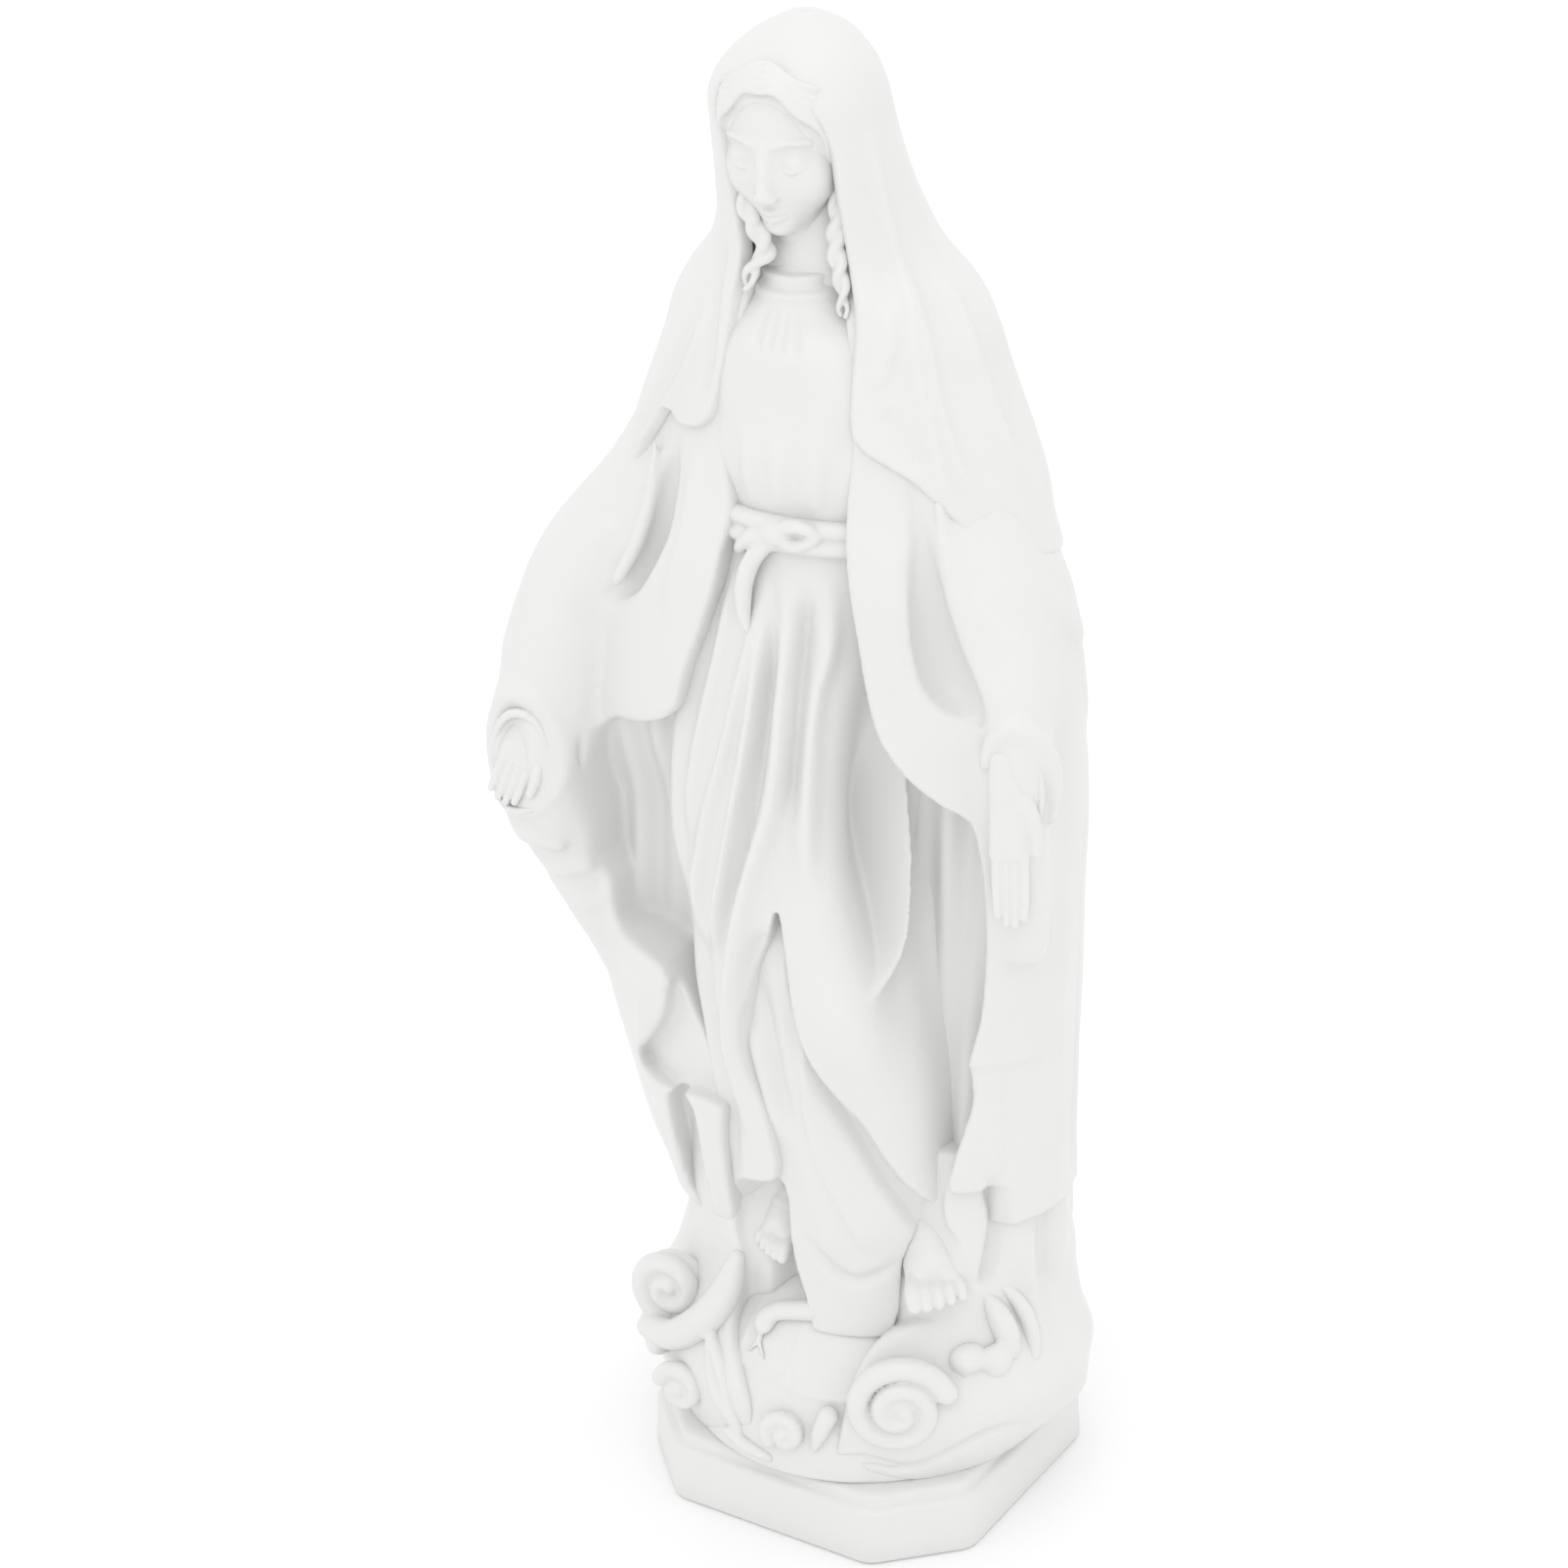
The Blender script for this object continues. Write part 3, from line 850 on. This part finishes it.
# ---- plinth ----
def rounded_octagon(half, corner, radius, steps=5):
    """Points of a square with cut and rounded corners, anticlockwise."""
    near = half - corner
    sharp = [(near, -half), (half, -near), (half, near), (near, half), (-near, half), (-half, near),
             (-half, -near), (-near, -half)]
    loop = []
    for i, p in enumerate(sharp):
        p, before, after = np.array(p), np.array(sharp[i - 1]), np.array(sharp[(i + 1) % 8])
        a, b = (before - p) / np.linalg.norm(before - p), (after - p) / np.linalg.norm(after - p)
        reach = radius * tan(pi / 8)
        start, end = p + a * reach, p + b * reach
        for t in np.linspace(0, 1, steps):
            loop.append((1 - t) ** 2 * start + 2 * t * (1 - t) * p + t * t * end)
    return loop


def make_plinth():
    profile = [(2.5, 1.2), (2.5, 0), (0.9, 0), (0.3, 0.3), (0, 1.0), (0.1, 5), (0.4, 11.4), (0.7, 12.0),
               (1.5, 12.5), (2.0, 12.7), (2.2, 13.1), (2.3, 13.9), (2.8, 14.5), (3.6, 14.8), (6, 15.2),
               (20, 15.4)]
    shortening = 0.586  # of a corner's cut, per millimetre of inset
    rings = [rounded_octagon(37.5 - inset, 15 - inset * shortening, 5.0) for inset, _ in profile]
    count = len(rings[0])
    vertices = [(x * MM, y * MM, z * MM) for ring, (_, z) in zip(rings, profile) for x, y in ring]
    faces = [
        (i * count + j, i * count + (j + 1) % count, (i + 1) * count + (j + 1) % count, (i + 1) * count + j)
        for i in range(len(rings) - 1)
        for j in range(count)
    ]
    faces.append(tuple((len(rings) - 1) * count + j for j in range(count)))
    faces.append(tuple(reversed(range(count))))
    data = bpy.data.meshes.new("plinth_cast")
    data.from_pydata(vertices, [], faces)
    data.shade_smooth()
    piece = add_object("plinth_cast", data)
    soft = piece.modifiers.new("soft", "BEVEL")
    soft.width = 0.0004
    soft.segments = 2
    soft.limit_method = "ANGLE"
    soft.angle_limit = radians(35)
    return piece


# ---- materials ----
def set_inputs(node, **values):
    """Sets a shader node's inputs by name, with _ for a space."""
    for name, value in values.items():
        node.inputs[name.replace("_", " ")].default_value = value
    return node


def new_material(name):
    material = bpy.data.materials.new(name)
    material.use_nodes = True
    nodes = material.node_tree.nodes
    return material, nodes, material.node_tree.links, nodes["Principled BSDF"]


def resin(name):
    """White cast resin: satin, faintly uneven, with a few pinholes."""
    material, nodes, links, shader = new_material(name)
    where = nodes.new("ShaderNodeTexCoord")

    def pattern(kind, **values):
        node = set_inputs(nodes.new(kind), **values)
        links.new(where.outputs["Object"], node.inputs["Vector"])
        return node

    patches = pattern("ShaderNodeTexNoise", Scale=28, Detail=3)
    rough = set_inputs(nodes.new("ShaderNodeMapRange"), To_Min=0.30, To_Max=0.48)
    links.new(patches.outputs["Fac"], rough.inputs["Value"])
    links.new(rough.outputs["Result"], shader.inputs["Roughness"])
    tint = set_inputs(nodes.new("ShaderNodeMixRGB"), Color1=(0.765, 0.765, 0.76, 1),
                      Color2=(0.738, 0.738, 0.726, 1))
    links.new(pattern("ShaderNodeTexNoise", Scale=60, Detail=4).outputs["Fac"], tint.inputs["Fac"])
    links.new(tint.outputs["Color"], shader.inputs["Base Color"])
    set_inputs(shader, Specular_IOR_Level=0.45, Coat_Weight=0.12, Coat_Roughness=0.22, Subsurface_Weight=0.08,
               Subsurface_Radius=(1.0, 0.95, 0.9), Subsurface_Scale=0.002)

    pores = pattern("ShaderNodeTexVoronoi", Scale=120)
    pits = set_inputs(nodes.new("ShaderNodeMapRange"), From_Min=0.03, From_Max=0.07)
    links.new(pores.outputs["Distance"], pits.inputs["Value"])
    mix = nodes.new("ShaderNodeMath")
    mix.operation = "MULTIPLY_ADD"
    mix.inputs[1].default_value = 0.35
    links.new(pattern("ShaderNodeTexNoise", Scale=900, Detail=2).outputs["Fac"], mix.inputs[0])
    links.new(pits.outputs["Result"], mix.inputs[2])
    bump = set_inputs(nodes.new("ShaderNodeBump"), Strength=0.12, Distance=0.0004)
    links.new(mix.outputs["Value"], bump.inputs["Height"])
    links.new(bump.outputs["Normal"], shader.inputs["Normal"])
    return material


def felt(name):
    """Pale pressed fibre."""
    material, nodes, links, shader = new_material(name)
    fibre = set_inputs(nodes.new("ShaderNodeTexNoise"), Scale=900, Detail=8)
    tint = set_inputs(nodes.new("ShaderNodeMixRGB"), Color1=(0.62, 0.60, 0.55, 1),
                      Color2=(0.82, 0.80, 0.76, 1))
    links.new(fibre.outputs["Fac"], tint.inputs["Fac"])
    links.new(tint.outputs["Color"], shader.inputs["Base Color"])
    set_inputs(shader, Roughness=0.95)
    bump = set_inputs(nodes.new("ShaderNodeBump"), Strength=0.6, Distance=0.0003)
    links.new(fibre.outputs["Fac"], bump.inputs["Height"])
    links.new(bump.outputs["Normal"], shader.inputs["Normal"])
    return material


# ---- the statue ----
def fit(piece, node):
    """Paints a piece, sets it on the frame and lets it stand for its CAD node."""
    piece.data.materials.clear()
    piece.data.materials.append(resin(node))
    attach(piece, "root")
    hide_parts(node)


for node, make in (
    ("plinth", make_plinth), ("globe", make_globe), ("cloud_bank", make_clouds),
    ("cloud_scrolls", make_scrolls), ("serpent", make_serpent), ("underskirt", make_underskirt),
    ("gown", make_gown), ("sash", make_sash), ("mantle", make_mantle), ("veil", make_veil),
    ("head", make_head), ("hair", make_hair),
):
    fit(make(), node)
fit(make_cuff("cuff_right", [
    (-61, -32.2, 147), (-61.8, -31.4, 153), (-60.8, -31.6, 159), (-58, -32.4, 163), (-54.8, -32.6, 164.8),
    (-51.8, -31.4, 163.4), (-50, -30.6, 159), (-49.4, -30.4, 153), (-50.5, -31.2, 148.5),
], 0.9, [[(-61, -32, 145.6), (-57, -33.6, 144.4), (-53, -32.4, 144.8), (-50, -30.8, 147)]]), "right_cuff")
fit(make_cuff("cuff_left", [
    (42.5, -22.6, 171), (44, -22.4, 175.2), (47, -20.6, 176), (49.2, -18.8, 172), (49.4, -17.8, 165),
    (48.4, -17.8, 159),
], 1.0, []), "left_cuff")
fit(make_hand("hand_right", (-54.3, -28.2, 162.5), (-58.8, -33.2, 146), (1, -0.3, 0), (0.1, -1, 0), 1.8),
    "right_hand")
fit(make_hand("hand_left", (44.6, -20.8, 169), (44.2, -19.6, 140), (0.84, 0.54, 0), (0.54, -0.84, 0), 1.6),
    "left_hand")
fit(make_foot("foot_right", (-5.5, -13.5, 64.5), (30, 0, -8), 1, 0.82), "right_foot")
fit(make_foot("foot_left", (19.5, -8.8, 61.5), (14, 0, 38), -1, 1.08), "left_foot")

felt_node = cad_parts["base_felt"]
felt_node.data.materials.clear()
felt_node.data.materials.append(felt("base_felt"))


# ---- floor, light and camera ----
def make_floor():
    data = bpy.data.meshes.new("floor")
    half = 6.0
    corners = [(-half, -half, 0), (half, -half, 0), (half, half, 0), (-half, half, 0)]
    data.from_pydata(corners, [], [(0, 1, 2, 3)])
    material, _, _, shader = new_material("floor")
    set_inputs(shader, Base_Color=(0.95, 0.95, 0.95, 1), Roughness=0.9)
    data.materials.append(material)
    add_object("floor", data)


def add_light(name, at, size, power, target=(0, 0, 0.15)):
    """A square soft light that looks at the middle of the statue."""
    data = bpy.data.lights.new(name, "AREA")
    data.energy, data.size = power, size
    back = np.array(at, float) - np.array(target, float)
    back /= np.linalg.norm(back)
    right = np.cross((0, 0, 1), back)
    right /= np.linalg.norm(right)
    add_object(name, data).matrix_world = aim(right, np.cross(back, right), back, at)


def add_camera():
    """The photograph's viewing angle."""
    data = bpy.data.cameras.new("camera")
    data.lens, data.sensor_width = 90.9, 36
    data.clip_start, data.clip_end = 0.01, 20
    right = (0.84564, 0.53323, -0.02343)
    up = (-0.21334, 0.37792, 0.90092)
    camera = add_object("camera", data)
    camera.matrix_world = aim(right, up, np.cross(right, up), (0.3553, -0.5752, 0.4746))
    bpy.context.scene.camera = camera


make_floor()
add_light("key", (0.25, -0.75, 1.0), 0.7, 1.3)
add_light("top", (0.1, 0.1, 1.2), 0.8, 0.5)
add_camera()

world = bpy.data.worlds.new("studio")
world.use_nodes = True
set_inputs(world.node_tree.nodes["Background"], Color=(1, 1, 1, 1), Strength=1.07)
bpy.context.scene.world = world
bpy.context.scene.view_settings.view_transform = "Standard"
